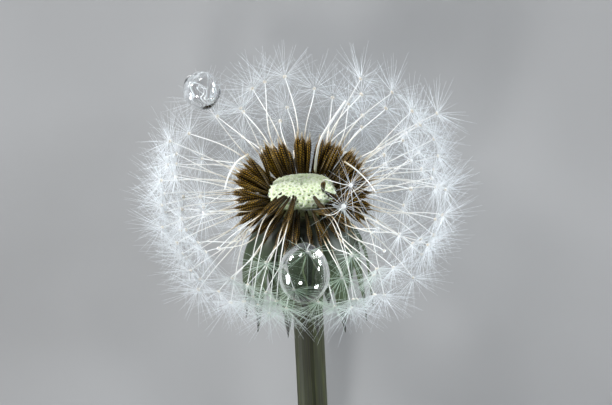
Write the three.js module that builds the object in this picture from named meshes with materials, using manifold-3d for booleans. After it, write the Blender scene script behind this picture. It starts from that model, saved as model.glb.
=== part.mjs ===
// A dandelion seed head, picked with a short length of its stem and laid down on a surface.
//
// Millimetres, +Z up. The surface is z = 0, and the origin lies on it under the middle of the whole
// piece. The cut end of the stem points along -Y and the head lies towards +Y. The top of the head
// and its near side have lost their fruits, and that bare side is turned up.
//
// Each fruit is a brown achene, a thin pale beak and a parachute of hairs round a small hub. The
// hubs lie on a sphere about the head's centre, spaced by the golden angle, and everything that
// varies from fruit to fruit comes from noise(), so each run gives the same head.
import * as THREE from "three";
import { mergeVertices } from "three/addons/utils/BufferGeometryUtils.js";
import Module from "manifold-3d";

const wasm = await Module();
wasm.setup();

const { Vector3 } = THREE;
const radians = THREE.MathUtils.degToRad;
const lerp = THREE.MathUtils.lerp;

// ---- Driving dimensions -------------------------------------------------------------------------

// Where the head lies. HEAD_CENTRE is the middle of the sphere of hubs, before the whole is centred.
const HEAD_CENTRE = new Vector3(0, 16.0, 16.0);
const HEAD_TILT = 20; // degrees that the head's top looks up from level

// Between the pieces
const GAP = 0.3; // between pieces that touch
const SLIVER = 0.008; // edges that a join or a cut leaves shorter than this are closed up

// Where the fruits stand. All angles are in degrees.
const SEED = 6; // changes everything that varies from fruit to fruit
const FRUITS = 92; // places on the spiral, before the bare patch is left out
const TOP_ANGLE = 54; // from the head's axis to the first fruit, and to the last
const LOW_ANGLE = 127;
const GOLDEN_ANGLE = 137.508;
const BARE_ANGLE = 48; // from the axis to the middle of the bare near side
const BARE_RADIUS = 45; // half its width
const HUB_SPHERE = 17.0; // radius of the sphere on which the hubs lie
const VARIATION = { fromAxis: 5, round: 12, distance: 1.6, axis: 0.5 }; // of a hub, all told

// Fruits that still hang on in the bare patch, one pulled loose at the right, and two that hold the
// drops. Degrees from the axis, degrees round it from the near side towards +X, and distance.
const STRAYS = [
  [60, 42, 17.0],
  [65, 21, 16.4],
  [74, 15, 15.8],
  [83, 33, 16.6],
  [60, 95, 19.0],
  [46, -96, 14.2],
  [104, -9, 12.6],
];

// Achenes. On the far side the highest stand up by UPRIGHT from the head's axis and the others fan
// out from them by FANNING degrees for each degree between their hubs. On the near side they hang,
// but for the strays, which point at their hubs.
const ACHENE_LENGTH = 4.3;
const ACHENE_WIDTH = 0.95;
const ACHENE_DEPTH = 0.7;
const ACHENE_ROOT = 0.55; // share of its width where it is rooted
const ACHENE_SHOULDER = 0.7; // share of its length where it is widest
const UPRIGHT = 26;
const FANNING = 1.4;
const HANGING = 112; // the least that they lean on the near side, and how far they lean past their hubs
const HANGING_PAST = 12;
const STRAY_ANGLE = 88; // of the lowest stray, and how far strays lean past their hubs
const STRAY_PAST = 8;
const LOWEST_LEAN = 136;
const CLUMPS = 14; // neighbouring achenes lean together into this many clumps
const CLUMPING = 0.45; // how far towards the middle of its clump an achene leans, from 0 to 1

// Beaks and parachutes
const BEAK_RADIUS = 0.18;
const BEAK_STRAIGHT = 3.2; // how far a beak runs on along its achene before it bends
const HUB_RADIUS = 0.33;
const HUB_HEIGHT = 0.34;
const HAIRS = 10; // per parachute, an even number
const HAIR_LENGTH = 5.2;
const UPPER_HAIR_ANGLE = 52; // degrees between a parachute's axis and its inner hairs
const LOWER_HAIR_ANGLE = 74; // and its outer hairs
const HAIR_VARIATION = { round: 0.4, angle: 16 }; // as a share of the step between hairs, and in degrees
const NEIGHBOUR = 8.2; // parachutes whose hubs are nearer than this cross their hairs
const CROSSING_RISE = 0.27; // height of a crossing over the hubs, as a share of their distance

// Receptacle, the pale pitted cushion that the fruits stand on: a dome, flatter in its middle, over a
// rim, drawn in below
const RECEPTACLE_RADIUS = 4.25;
const RECEPTACLE_HEIGHT = 0.95; // of the dome's middle
const DOME_FALL = 0.0025; // the dome falls by this times the fourth power of the distance from the axis
const RIM_HEIGHT = -0.2;
const NECK = [[3.05, -2.3], [3.4, -1.4], [4.15, -0.6]]; // [radius, height] from the flat underside up
const PITS = 38;
const PITTED_RADIUS = 3.6;
const PIT_RADIUS = 0.3;
const PIT_DEPTH = 0.35;
const PIT_CLEARANCE = 0.4; // how far over the dome a pit's cutter reaches

// Collar that joins the achenes
const COLLAR_INNER = 4.55;
const COLLAR_OUTER = 5.1;
const COLLAR_TOP = 0.0; // on the far side; it slopes down towards the near side
const COLLAR_NEAR_TOP = -0.55;
const COLLAR_BOTTOM = -1.9;
const ROOT_DEPTH = 0.35; // how far inside the collar the highest and lowest achenes are rooted

// Stem
const STEM_LENGTH = 50; // along -Y, from the head's centre to the cut end
const STEM_RADIUS = 1.85;
const STEM_WALL = 0.7;
const FLARE_RADIUS = 3.1; // of the stem where it widens under the receptacle
const FLARE_LENGTH = 3.6;
const HOLLOW_FROM = 7.5; // distance from the top at which the hollow ends
const STEM_END_TILT = 9; // degrees that the cut end slopes down
const STEM_HANDLES = [15, 16.5]; // how far the stem keeps the head's direction, and the cut end's
const STEM_SIDES = 10;
const STEM_STEPS = 9;

// Bracts, the green leaves under the head, bent back along the stem
const BRACT_THICKNESS = 0.62;
const BRACT_SECTIONS = [0, 0.25, 0.55, 0.82]; // shares of a bract's length
const BRACT_OUTLINE = [0.3, 0.62]; // its width follows a sine from this share of half a turn over this one
const BRACT_VARIATION = { spread: 0.14, round: 0.35 }; // of its reach, and of the step between bracts
const RING_HEIGHT = 0.9; // of the ring that joins a row, and its wall
const RING_WALL = 0.7;
const INNER_BRACTS = {
  count: 13,
  width: 2.5,
  ringRadius: 3.0,
  ringTop: -3.2,
  out: [3.4, 5.7, 7.4, 7.9], // how far from the axis, and how high, a bract's midrib runs
  up: [-3.65, -4.8, -9.0, -16.4],
};
const OUTER_BRACTS = {
  count: 11,
  width: 1.9,
  ringRadius: 2.45,
  ringTop: -4.6,
  out: [2.9, 4.7, 5.4, 4.9],
  up: [-5.05, -6.2, -9.4, -13.6],
};

// Water drops, by the head's own axes: +X to the right, -Y to the near side, +Z along the axis
const UPPER_DROP = { at: new Vector3(-11.6, 2.6, 12.8), radius: 2.35, stretch: 1 };
const LOWER_DROP = { at: new Vector3(-0.2, -16.0, -3.5), radius: 3.05, stretch: 1.22 };
const DROP_CLEARANCE = 2 * GAP; // to the hairs round it

// Hairs that would come lower than FLOOR_SOFTENING over the surface bend until they lie along it.
// They come to rest FLOOR_BITE below it, and are cut flat there.
const FLOOR_SOFTENING = 1.6;
const FLOOR_BITE = 0.22;

// ---- Helpers ------------------------------------------------------------------------------------

// A number from 0 to 1 that depends only on k and salt.
function noise(k, salt) {
  const v = Math.sin(k * 12.9898 + (salt + SEED) * 78.233) * 43758.5453;
  return v - Math.floor(v);
}

// The same, from -0.5 to 0.5.
const about = (k, salt) => noise(k, salt) - 0.5;

// A closed surface through rings of points, each with the same number of points or with one, its apex.
function loft(rings) {
  const points = [];
  const starts = [];
  for (const ring of rings) {
    starts.push(points.length);
    points.push(...ring);
  }
  const faces = [];
  for (let i = 0; i + 1 < rings.length; i++) {
    const a = starts[i];
    const b = starts[i + 1];
    const sides = Math.max(rings[i].length, rings[i + 1].length);
    for (let j = 0; j < sides; j++) {
      const next = (j + 1) % sides;
      if (rings[i].length === 1) faces.push(a, b + next, b + j);
      else if (rings[i + 1].length === 1) faces.push(a + j, a + next, b);
      else faces.push(a + j, a + next, b + next, a + j, b + next, b + j);
    }
  }
  const last = rings.length - 1;
  for (let j = 1; j + 1 < rings[0].length; j++) faces.push(0, j + 1, j);
  const end = starts[last];
  for (let j = 1; j + 1 < rings[last].length; j++) faces.push(end, end + j, end + j + 1);
  const geometry = new THREE.BufferGeometry().setFromPoints(points);
  geometry.setIndex(faces);
  return geometry;
}

// The solid that a closed outline of [radius, height] points makes round the Z axis.
function lathe(outline, sides) {
  const points = outline.map(([x, y]) => new THREE.Vector2(x, y));
  return new THREE.LatheGeometry(points, sides).rotateX(Math.PI / 2);
}

// Two directions square to each other and to axis.
function across(axis) {
  const start = Math.abs(axis.z) < 0.9 ? new Vector3(0, 0, 1) : new Vector3(1, 0, 0);
  const u = new Vector3().crossVectors(start, axis).normalize();
  return [u, new Vector3().crossVectors(axis, u)];
}

// Points of an ellipse about centre, with half-axes along u and v.
function ring(centre, u, v, a, b, sides, turn = 0) {
  return Array.from({ length: sides }, (_, i) => {
    const angle = turn + (2 * Math.PI * i) / sides;
    const point = centre.clone().addScaledVector(u, a * Math.cos(angle));
    return point.addScaledVector(v, b * Math.sin(angle));
  });
}

// A three-sided needle from root to tip, bent through the points between them, if any.
function needle(points, radius, tipRadius = 0) {
  const axis = points[1].clone().sub(points[0]).normalize();
  const [u, v] = across(axis);
  const last = points.length - 1;
  return loft(
    points.map((p, i) => {
      const r = lerp(radius, tipRadius, i / last);
      return r > 0 ? ring(p, u, v, r, r, 3) : [p];
    }),
  );
}

function solid(geometry) {
  const plain = geometry.clone();
  plain.deleteAttribute("normal");
  plain.deleteAttribute("uv");
  const merged = mergeVertices(plain, 1e-5);
  return new wasm.Manifold(
    new wasm.Mesh({
      numProp: 3,
      vertProperties: merged.attributes.position.array,
      triVerts: new Uint32Array(merged.index.array),
    }),
  );
}

function geometryOf(manifold) {
  const { vertProperties, triVerts } = manifold.simplify(SLIVER).getMesh();
  const geometry = new THREE.BufferGeometry();
  geometry.setAttribute("position", new THREE.BufferAttribute(vertProperties, 3));
  geometry.setIndex(new THREE.BufferAttribute(triVerts, 1));
  return geometry;
}

const union = (geometries) => wasm.Manifold.union(geometries.map(solid));

// The largest of the bodies that a solid falls into, without its loose scraps.
function largest(manifold) {
  return manifold.decompose().sort((a, b) => b.volume() - a.volume())[0];
}

// ---- The surface, seen from the head ------------------------------------------------------------

const tilt = radians(HEAD_TILT);
const UP = new Vector3(0, -Math.cos(tilt), Math.sin(tilt)); // straight up, in the head's own axes
const height = (p) => HEAD_CENTRE.z + UP.dot(p);

// p, or the place above the surface where a soft hair that reaches for p comes to lie.
function bentByFloor(p) {
  const h = height(p) + FLOOR_BITE;
  if (h >= FLOOR_SOFTENING) return p.clone();
  return p.clone().addScaledVector(UP, FLOOR_SOFTENING * Math.exp(h / FLOOR_SOFTENING - 1) - h);
}

// ---- Fruits -------------------------------------------------------------------------------------

// The direction at an angle from the head's axis, and round it from the near side.
function direction(fromAxis, round) {
  return new Vector3(
    Math.sin(fromAxis) * Math.sin(round),
    -Math.sin(fromAxis) * Math.cos(round),
    Math.cos(fromAxis),
  );
}

// How far from the head's axis an achene leans, for a hub at an angle from it.
function leanOf(fromAxis, round) {
  const standing = radians(UPRIGHT) + FANNING * (fromAxis - radians(TOP_ANGLE));
  const near =
    fromAxis < radians(STRAY_ANGLE)
      ? fromAxis + radians(STRAY_PAST)
      : Math.max(radians(HANGING), fromAxis + radians(HANGING_PAST));
  return Math.min(lerp(standing, near, (1 + Math.cos(round)) / 2), radians(LOWEST_LEAN));
}

// One fruit, from the place of its hub: where its achene is rooted and leans, and how its beak bends.
function fruitAt(k, fromAxis, round, hubDistance) {
  const clump = (Math.round((round * CLUMPS) / (2 * Math.PI)) * 2 * Math.PI) / CLUMPS;
  const leanAngle = leanOf(fromAxis, round);
  const lean = direction(leanAngle, lerp(round, clump, CLUMPING));
  const down = THREE.MathUtils.inverseLerp(radians(UPRIGHT), radians(LOWEST_LEAN), leanAngle);
  const out = (COLLAR_INNER + COLLAR_OUTER) / 2;
  const top = lerp(COLLAR_NEAR_TOP, COLLAR_TOP, (1 - Math.cos(round)) / 2) - ROOT_DEPTH;
  const up = lerp(top, COLLAR_BOTTOM + ROOT_DEPTH, THREE.MathUtils.clamp(down, 0, 1));
  const root = new Vector3(out * Math.sin(round), -out * Math.cos(round), up);
  const tip = root.clone().addScaledVector(lean, ACHENE_LENGTH);
  const bend = bentByFloor(tip.clone().addScaledVector(lean, BEAK_STRAIGHT));
  const hub = bentByFloor(direction(fromAxis, round).multiplyScalar(hubDistance));
  const sway = new Vector3(about(k, 4), about(k, 5), about(k, 6)).multiplyScalar(VARIATION.axis);
  const axis = hub.clone().sub(bend).normalize().add(sway).normalize();
  return { k, lean, root, tip, bend, hub, axis };
}

function fruits() {
  const bare = direction(radians(BARE_ANGLE), 0);
  const found = STRAYS.map(([fromAxis, round, distance], i) =>
    fruitAt(FRUITS + i, radians(fromAxis), radians(round), distance),
  );
  for (let k = 0; k < FRUITS; k++) {
    const share = (k + 0.5) / FRUITS;
    const cosine = lerp(Math.cos(radians(TOP_ANGLE)), Math.cos(radians(LOW_ANGLE)), share);
    const fromAxis = Math.acos(cosine) + radians(VARIATION.fromAxis * about(k, 1));
    const round = radians(GOLDEN_ANGLE * k + VARIATION.round * about(k, 2));
    if (direction(fromAxis, round).dot(bare) > Math.cos(radians(BARE_RADIUS))) continue;
    found.push(fruitAt(k, fromAxis, round, HUB_SPHERE + VARIATION.distance * about(k, 3)));
  }
  return found;
}

// A flattened spindle along a fruit's lean, narrow where it is rooted and widest past its middle.
function achene(fruit, more = 0) {
  const [u, v] = across(fruit.lean);
  const at = (share) => fruit.root.clone().lerp(fruit.tip, share);
  const section = (share, width) =>
    ring(at(share), u, v, (ACHENE_WIDTH * width) / 2 + more, (ACHENE_DEPTH * width) / 2 + more, 4);
  return loft([section(0, ACHENE_ROOT), section(ACHENE_SHOULDER, 1), [at(1 + more / ACHENE_LENGTH)]]);
}

// Where a fruit's hairs end. They spread round its hub, by turns inner and outer ones.
function hairTips(fruit) {
  const [u, v] = across(fruit.axis);
  return Array.from({ length: HAIRS }, (_, i) => {
    const round = (2 * Math.PI * (i + 1 + HAIR_VARIATION.round * about(fruit.k, 20 + i))) / HAIRS;
    const angle = i % 2 ? LOWER_HAIR_ANGLE : UPPER_HAIR_ANGLE;
    const open = radians(angle + HAIR_VARIATION.angle * about(fruit.k, 40 + i));
    const way = fruit.axis.clone().multiplyScalar(Math.cos(open));
    way.addScaledVector(u, Math.sin(open) * Math.cos(round));
    way.addScaledVector(v, Math.sin(open) * Math.sin(round));
    return fruit.hub.clone().addScaledVector(way, HAIR_LENGTH);
  });
}

// Neighbouring parachutes hold on to each other where a hair of one crosses a hair of the other.
function crossHairs(all) {
  const taken = new Set();
  const nearestHair = (fruit, target) => {
    const way = target.clone().sub(fruit.hub);
    const gaps = fruit.tips.map((tip) => tip.clone().sub(fruit.hub).angleTo(way));
    return gaps.indexOf(Math.min(...gaps));
  };
  const pairs = [];
  all.forEach((a, i) => all.slice(i + 1).forEach((b) => pairs.push([a, b, a.hub.distanceTo(b.hub)])));
  pairs.sort((p, q) => p[2] - q[2]);
  for (const [a, b, distance] of pairs.filter((pair) => pair[2] < NEIGHBOUR)) {
    const crossing = a.hub.clone().add(b.hub).multiplyScalar(0.5);
    crossing.addScaledVector(crossing.clone().normalize(), CROSSING_RISE * distance);
    const hairs = [a, b].map((fruit) => [fruit, nearestHair(fruit, crossing)]);
    if (hairs.some(([fruit, i]) => taken.has(fruit.k * HAIRS + i))) continue;
    for (const [fruit, i] of hairs) {
      taken.add(fruit.k * HAIRS + i);
      const way = crossing.clone().sub(fruit.hub).normalize();
      fruit.tips[i] = fruit.hub.clone().addScaledVector(way, HAIR_LENGTH);
    }
  }
}

// A hub with its hairs: a squat drum of triangles whose side faces are drawn out into spikes.
function parachute(fruit) {
  const [u, v] = across(fruit.axis);
  const sides = HAIRS / 2;
  const level = (rise, turn) => {
    const middle = fruit.hub.clone().addScaledVector(fruit.axis, rise);
    return ring(middle, u, v, HUB_RADIUS, HUB_RADIUS, sides, turn);
  };
  const upper = level(HUB_HEIGHT / 2, 0);
  const lower = level(-HUB_HEIGHT / 2, Math.PI / sides);
  const tips = fruit.tips.map(bentByFloor);
  const faces = [];
  for (let j = 0; j < sides; j++) {
    const next = (j + 1) % sides;
    const tip = 2 * sides + 2 * j;
    for (const [a, b, c, t] of [
      [sides + j, next, j, tip],
      [sides + j, sides + next, next, tip + 1],
    ]) {
      faces.push(a, b, t, b, c, t, c, a, t);
    }
    if (j > 0 && next > 0) faces.push(0, j, next, sides, sides + next, sides + j);
  }
  const geometry = new THREE.BufferGeometry().setFromPoints([...upper, ...lower, ...tips]);
  geometry.setIndex(faces);
  return geometry;
}

function beak(fruit) {
  const start = fruit.tip.clone().addScaledVector(fruit.lean, 1.25 * GAP);
  return needle([fruit.hub, fruit.bend, start], BEAK_RADIUS, BEAK_RADIUS);
}

function achenes(all, more = 0) {
  const inner = COLLAR_INNER - more;
  const outer = COLLAR_OUTER + more;
  const bottom = COLLAR_BOTTOM - more;
  const top = COLLAR_TOP + more;
  const collar = lathe([[inner, bottom], [outer, bottom], [outer, top], [inner, top], [inner, bottom]], 22);
  const slope = new Vector3(0, (COLLAR_TOP - COLLAR_NEAR_TOP) / (2 * COLLAR_OUTER), -1);
  const middle = (COLLAR_TOP + COLLAR_NEAR_TOP) / 2 + more;
  const bed = solid(collar).trimByPlane(slope.toArray(), -middle);
  return wasm.Manifold.union([bed, ...all.map((fruit) => solid(achene(fruit, more)))]);
}

// ---- Receptacle ---------------------------------------------------------------------------------

function receptacle() {
  const domeAt = (out) => RECEPTACLE_HEIGHT - DOME_FALL * out ** 4;
  const dome = [0.9, 0.7, 0.4, 0].map((share) => share * RECEPTACLE_RADIUS).map((out) => [out, domeAt(out)]);
  const cushion = lathe([[0, NECK[0][1]], ...NECK, [RECEPTACLE_RADIUS, RIM_HEIGHT], ...dome], 24);
  const pits = [];
  for (let k = 0; k < PITS; k++) {
    const out = PITTED_RADIUS * Math.sqrt((k + 0.5) / PITS);
    const round = radians(GOLDEN_ANGLE) * k;
    const mouth = new Vector3(out * Math.sin(round), -out * Math.cos(round), domeAt(out));
    const slope = 4 * DOME_FALL * out ** 2;
    const normal = new Vector3(mouth.x * slope, mouth.y * slope, 1).normalize();
    const [u, v] = across(normal);
    const above = mouth.clone().addScaledVector(normal, PIT_CLEARANCE);
    const bottom = mouth.clone().addScaledVector(normal, -PIT_DEPTH);
    const wide = (PIT_RADIUS * (PIT_DEPTH + PIT_CLEARANCE)) / PIT_DEPTH;
    pits.push(loft([[bottom], ring(above, u, v, wide, wide, 5)]));
  }
  return solid(cushion).subtract(union(pits));
}

// ---- Bracts -------------------------------------------------------------------------------------

// One row of bracts: lance-shaped leaves on a ring round the stem, bent back by different amounts.
function bracts(row, salt, more = 0) {
  const midrib = new THREE.CatmullRomCurve3(row.out.map((r, i) => new Vector3(r, 0, row.up[i])));
  const inner = row.ringRadius - more;
  const outer = row.ringRadius + RING_WALL + more;
  const top = row.ringTop + more;
  const bottom = row.ringTop - RING_HEIGHT - more;
  const joining = lathe([[inner, bottom], [outer, bottom], [outer, top], [inner, top], [inner, bottom]], 26);
  const leaves = [];
  const [from, over] = BRACT_OUTLINE;
  for (let i = 0; i < row.count; i++) {
    const spread = 1 + BRACT_VARIATION.spread * about(i, salt);
    const twist = about(i, salt + 1);
    const rings = BRACT_SECTIONS.map((share) => {
      const at = midrib.getPoint(share);
      at.x *= lerp(1, spread, share);
      const along = midrib.getTangent(share);
      const side = new Vector3(0, 1, 0).applyAxisAngle(along, twist * share);
      const normal = new Vector3().crossVectors(along, side);
      const width = row.width * Math.sin(Math.PI * (from + over * share));
      return ring(at, side, normal, width / 2 + more, BRACT_THICKNESS / 2 + more, 4);
    });
    const tip = midrib.getPoint(1);
    tip.x *= spread;
    const round = (2 * Math.PI * (i + BRACT_VARIATION.round * about(i, salt + 2))) / row.count;
    leaves.push(loft([...rings, [tip]]).rotateZ(round));
  }
  return union([joining, ...leaves]);
}

// ---- Stem ---------------------------------------------------------------------------------------

// A hollow stem, open at its cut end. It widens under the head and curves down to the surface.
function stem() {
  const endTilt = radians(STEM_END_TILT);
  const away = new Vector3(0, -Math.cos(tilt), -Math.sin(tilt));
  const back = new Vector3(0, Math.cos(endTilt), Math.sin(endTilt));
  const top = HEAD_CENTRE.clone().addScaledVector(away, GAP - NECK[0][1]);
  // A flat of the section, not a corner, is the lowest part of the cut end.
  const end = HEAD_CENTRE.clone().add(new Vector3(0, -STEM_LENGTH, 0));
  end.z = STEM_RADIUS * Math.cos(Math.PI / STEM_SIDES) * Math.cos(endTilt);
  const path = new THREE.CubicBezierCurve3(
    top,
    top.clone().addScaledVector(away, STEM_HANDLES[0]),
    end.clone().addScaledVector(back, STEM_HANDLES[1]),
    end,
  );
  const length = path.getLength();
  const flare = FLARE_LENGTH / length;
  const shares = [0, 0.3 * flare, 0.6 * flare, flare];
  for (let i = 1; i <= STEM_STEPS; i++) shares.push(lerp(flare, 1, i / STEM_STEPS));
  const section = (share, radius) => {
    const square = new Vector3().crossVectors(path.getTangentAt(share), new Vector3(1, 0, 0));
    const turn = Math.PI / STEM_SIDES - Math.PI / 2;
    const centre = path.getPointAt(share);
    return ring(centre, new Vector3(1, 0, 0), square, radius, radius, STEM_SIDES, turn);
  };
  const outer = (share) =>
    STEM_RADIUS + (FLARE_RADIUS - STEM_RADIUS) * Math.max(0, 1 - share / flare) ** 2;
  const hollow = shares.filter((share) => share * length > HOLLOW_FROM).reverse();
  return loft([
    ...shares.map((share) => section(share, outer(share))),
    ...hollow.map((share) => section(share, outer(share) - STEM_WALL)),
  ]);
}

// ---- The whole head -----------------------------------------------------------------------------

function drop({ at, radius, stretch }, more = 0) {
  const r = radius + more;
  return new THREE.IcosahedronGeometry(1, more ? 1 : 2).scale(r, r, r * stretch).translate(...at);
}

const all = fruits();
const keepClear = [
  achenes(all, GAP),
  bracts(INNER_BRACTS, 60, GAP),
  bracts(OUTER_BRACTS, 70, GAP),
  solid(drop(UPPER_DROP, DROP_CLEARANCE)),
  solid(drop(LOWER_DROP, DROP_CLEARANCE)),
];
for (const fruit of all) fruit.tips = hairTips(fruit);
crossHairs(all);
const parachutes = largest(
  union([...all.map(parachute), ...all.map(beak)])
    .subtract(wasm.Manifold.union(keepClear))
    .trimByPlane(UP.toArray(), -HEAD_CENTRE.z)
    .simplify(SLIVER),
);

const green = { roughness: 0.6, metalness: 0 };
const COLOURS = {
  stem: { color: 0x4d5a38, ...green },
  bracts_inner: { color: 0x5d7a4c, ...green },
  bracts_outer: { color: 0x4f6b42, ...green },
  receptacle: { color: 0xdfe8bd, roughness: 0.75, metalness: 0 },
  achenes: { color: 0x7a5420, roughness: 0.55, metalness: 0 },
  pappus: { color: 0xe8edf0, roughness: 0.5, metalness: 0 },
  water_drop_upper: { color: 0xcfe0ea, roughness: 0.03, metalness: 0, transparent: true, opacity: 0.4 },
  water_drop_lower: { color: 0xcfe0ea, roughness: 0.03, metalness: 0, transparent: true, opacity: 0.4 },
};

function piece(name, geometry) {
  const mesh = new THREE.Mesh(geometry, new THREE.MeshStandardMaterial(COLOURS[name]));
  mesh.name = name;
  return mesh;
}

const head = new THREE.Group();
head.position.copy(HEAD_CENTRE);
head.rotation.x = -radians(90 - HEAD_TILT);
head.add(
  piece("receptacle", geometryOf(receptacle())),
  piece("achenes", geometryOf(achenes(all))),
  piece("pappus", geometryOf(parachutes)),
  piece("bracts_inner", geometryOf(bracts(INNER_BRACTS, 60))),
  piece("bracts_outer", geometryOf(bracts(OUTER_BRACTS, 70))),
  piece("water_drop_upper", drop(UPPER_DROP)),
  piece("water_drop_lower", drop(LOWER_DROP)),
);

const seedHead = new THREE.Group();
seedHead.add(head, piece("stem", stem()));
seedHead.updateMatrixWorld(true);
const middle = new THREE.Box3().setFromObject(seedHead, true).getCenter(new Vector3());
seedHead.position.set(-middle.x, -middle.y, 0);

export default seedHead;
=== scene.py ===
"""A dandelion seed head lying on a pale floor, seen from above as the photograph sees it.

The head has axes of its own, in millimetres: +Z up its middle, away from the stem, and -Y towards its
near side, which has lost its fruits and is turned up here. Its parts are worked out in those axes and
then carried into the frame's, in metres.
"""
from math import acos, cos, pi, radians, sin

import bpy
import numpy as np
from mathutils import Matrix, Vector


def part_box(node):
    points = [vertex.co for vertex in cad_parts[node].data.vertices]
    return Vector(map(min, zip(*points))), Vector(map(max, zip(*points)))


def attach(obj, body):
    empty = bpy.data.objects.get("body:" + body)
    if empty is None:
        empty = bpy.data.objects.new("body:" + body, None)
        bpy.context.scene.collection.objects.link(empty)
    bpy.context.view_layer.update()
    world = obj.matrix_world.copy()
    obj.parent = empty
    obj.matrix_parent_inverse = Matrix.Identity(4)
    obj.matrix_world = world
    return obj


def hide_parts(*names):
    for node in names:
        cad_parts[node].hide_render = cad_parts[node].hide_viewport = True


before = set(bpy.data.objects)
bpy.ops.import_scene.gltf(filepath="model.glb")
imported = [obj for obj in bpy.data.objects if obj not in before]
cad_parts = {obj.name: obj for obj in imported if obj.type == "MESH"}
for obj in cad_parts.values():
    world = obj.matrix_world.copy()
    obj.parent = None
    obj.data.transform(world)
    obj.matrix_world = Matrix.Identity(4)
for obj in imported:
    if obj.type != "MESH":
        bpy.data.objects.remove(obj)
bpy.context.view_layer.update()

# ---- Sizes, in millimetres, and angles ----

MM = 0.001
HEAD_TILT = radians(20)  # the head's axis looks up by this much

# Water drops: their middles in the head's own axes, their radii, how much longer they are along its
# axis, and how far out of round, as a share
LOWER_DROP_AT = np.array([-0.2, -16.0, -3.5])
LOWER_DROP = {"radius": 3.05, "stretch": 1.22, "uneven": 0.022}
UPPER_DROP_AT = np.array([-11.6, 2.6, 12.8])
UPPER_DROP = {"radius": 2.35, "stretch": 1.0, "uneven": 0.04}

# Fruits: places on a golden-angle spiral round the head, and as many again between them
SEED = 6
PLACES = 92
TOP_ANGLE = radians(54)
LOW_ANGLE = radians(127)
GOLDEN_ANGLE = radians(137.508)
PLACE_VARIES = radians(5)  # from the axis
TURN_VARIES = radians(12)  # and round it
BARE_ANGLE = radians(48)  # from the axis to the middle of the bare side
BARE_RADIUS = radians(45)
HUB_SPHERE = 17.0
HUB_VARIES = 1.6
APART = radians(9)  # the nearest that they come to a listed fruit
NEAR_APART = radians(13)  # and towards the camera or away from it
NEAR_APART_OVER = 0.25  # cosine of the angle to the camera's direction

# The fruits that stand out, each with its hub's angles from the axis and round it, in degrees, and its
# distance where that isn't HUB_SPHERE
STANDING_OUT = [
    [75, -155], [91, -133], [59, -164], [62, -158], [57, -174], [75, -123], [66, -93, 17.4], [72, -69],
    [102, -116], [106, -112], [87, -60], [114, -108], [102, -69], [94, -49], [97, -45], [107, -33],
    [119, -46], [109, -26], [116, -25], [96, -16], [112, -18], [117, -14], [95, 19], [108, 30],
    [105, 31], [105, 15], [120, 22], [118, 5], [125, 138], [92, 42], [100, 51], [110, 71], [114, 125],
    [106, 123], [95, 117], [79, 71], [86, 130], [85, 152], [72, 137], [59, 126], [71, 164], [66, 172],
    [74, 157], [79, 151], [67, 149], [62, 93, 19.2], [46, -96, 14.6], [50, -113, 16.5], [36, -110, 12.7],
]
# This one stands on the bare dome and points at the camera
POINTING = [66, 23, 16.2]
POINTING_ROOT = np.array([2.6, -2.0, 0.6])
POINTING_LEAN = radians(51)
# These have lost half their hairs
THINNED = [[62, 42], POINTING, [74, 18, 16.2], [86, 31], [91, 1], [121, -24], [121, 24]]
# These have lost all of them
BALD = [[93, -37], [97, 34]]
# And these hang low on the near side, over the bracts
FRINGE = [
    [125, -11, 16.5], [126, 14, 16.5], [124, -34, 16.5], [125, 37, 16.5], [132, -50, 16.5],
    [131, -22, 16.5], [131, 25, 16.5], [132, 50, 16.5],
]

# Achenes without a beak, between the others on the far side
BROKEN = 48
FAR_SIDE = radians(190)  # the turn that the far side takes up
BROKEN_SPREAD = radians(22)
NO_BEAK = -1  # stands for the number of hairs of an achene that has no beak

# The first number of each kind of fruit. A fruit's number sets its random looks.
BY_HAND = 300
BETWEEN = 500
WITHOUT_BEAK = 700

# Beaks that have lost their hairs and bend over, through points in the head's axes. The first two grow
# on from the nearest achene, and the last one stands on the receptacle.
LOOSE_BEAKS = [
    [[-6.4, 0.4, 4.5], [-7.7, -1.9, 5.1], [-8.7, -3.9, 4.4], [-9.3, -6.0, 3.4]],
    [[5.3, -2.3, 4.6], [6.6, -3.2, 3.9], [7.9, -4.6, 3.0], [8.9, -6.6, 2.2]],
    [[1.7, 3.6, 0.3], [2.0, 3.0, 3.2], [2.9, 2.8, 6.0], [5.9, 4.4, 9.8]],
]
LOOSE_BEAK_RADII = [0.11, 0.09, 0.16]
LOOSE_BEAK_TAPER = (1.2, 0.8)  # at the start and at the end
FROM_ACHENE = 2.5  # the farthest that a loose beak lies from the achene that it grows on from

# Where the achenes stand on the receptacle
ROOT_RADIUS = (3.5, 4.0)  # the least and the most
ROOT_NEAR_OUT = 0.45  # and this much more on the near side
ROOT_TOP = 0.45  # the highest, on the far side
ROOT_NEAR_TOP = -0.5  # and on the near side
ROOT_BOTTOM = -1.9
ROOT_GATHERED = 0.7  # share of their turning towards clumps that their roots follow
ON_EDGE = 0.30  # share of the near achenes that stand on the dome's edge and hang over it
EDGE_RADIUS = 3.5
EDGE_TOP = 0.55
CLUMPS = 14
CLUMPS_UNEVEN = 0.7  # share of a clump's width
CLUMPING = 0.5
CLUMPING_NEAR_LOSS = 0.9  # share of it that the near side lacks
TURN_SCATTER = 0.3
TURN_SCATTER_NEAR_LOSS = 0.6

# How far the achenes lean from the head's axis: the far ones stand up and the near ones hang
NEAR_SIDE = 0.7  # the nearness over which they are near ones
UPRIGHT = radians(26)
UPRIGHT_SPREAD = 1.4  # times the angle from the topmost hub's place
HANGING = radians(106)  # the least, and those on the edge
HANGING_MORE = radians(9)  # than their hubs' places
STRAY_ANGLE = radians(88)  # from the axis, under which a fruit is a stray
STRAY_MORE = radians(8)
STRAY_TO_HUB = 1.5  # how much a near stray turns to its own hub
LEAN_LIMIT = radians(140)
LEAN_VARIES = radians(18)
CLUMP_LEAN_VARIES = radians(20)
LOW_LEAN = radians(100)  # more than upright, at which roots may be at the bottom

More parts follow.
